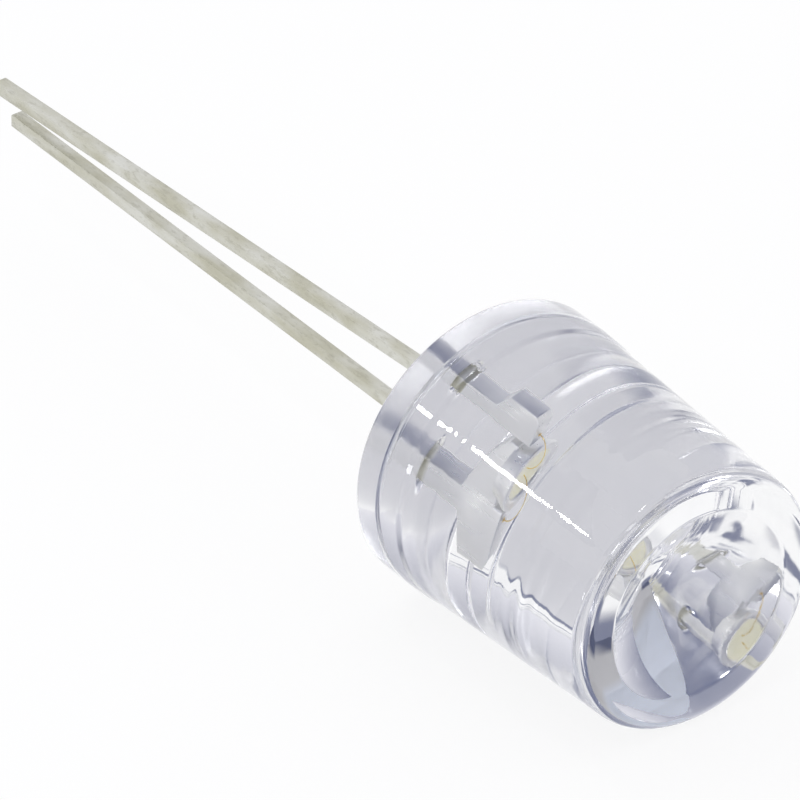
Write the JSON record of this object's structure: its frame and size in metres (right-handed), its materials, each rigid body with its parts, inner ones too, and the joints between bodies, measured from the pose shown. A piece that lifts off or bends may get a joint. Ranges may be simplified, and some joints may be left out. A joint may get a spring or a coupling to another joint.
{
  "type": "through-hole led",
  "caption": "Clear cast LED with a flanged round body, a conical recess in its front, a lead frame with a reflector cup inside, and long square leads.",
  "frame": {"origin": "centre of the flange's back face, the seating face that the leads leave", "axes": "+X along the optical axis, out through the lens; +Z from the cathode flat to the anode side, so the LED lies on its flat with one lead above the other; +Y across the leads' plane"},
  "size_m": [0.0412, 0.011, 0.0105],
  "materials": {
    "clear_epoxy": "polished clear cast epoxy",
    "tinned_lead": "dull tin plate on steel",
    "die": "polished semiconductor",
    "die_adhesive": "cured silver-filled adhesive",
    "phosphor": "yellow phosphor in silicone",
    "bond_gold": "drawn gold wire"
  },
  "bodies": {
    "root": {"epoxy_body": "clear_epoxy", "anode_lead": "tinned_lead", "cathode_lead": "tinned_lead", "led_die": "die", "die_attach": "die_adhesive", "phosphor_fill": "phosphor", "wire_to_anode": "bond_gold", "wire_to_cathode": "bond_gold"}
  },
  "joints": []
}
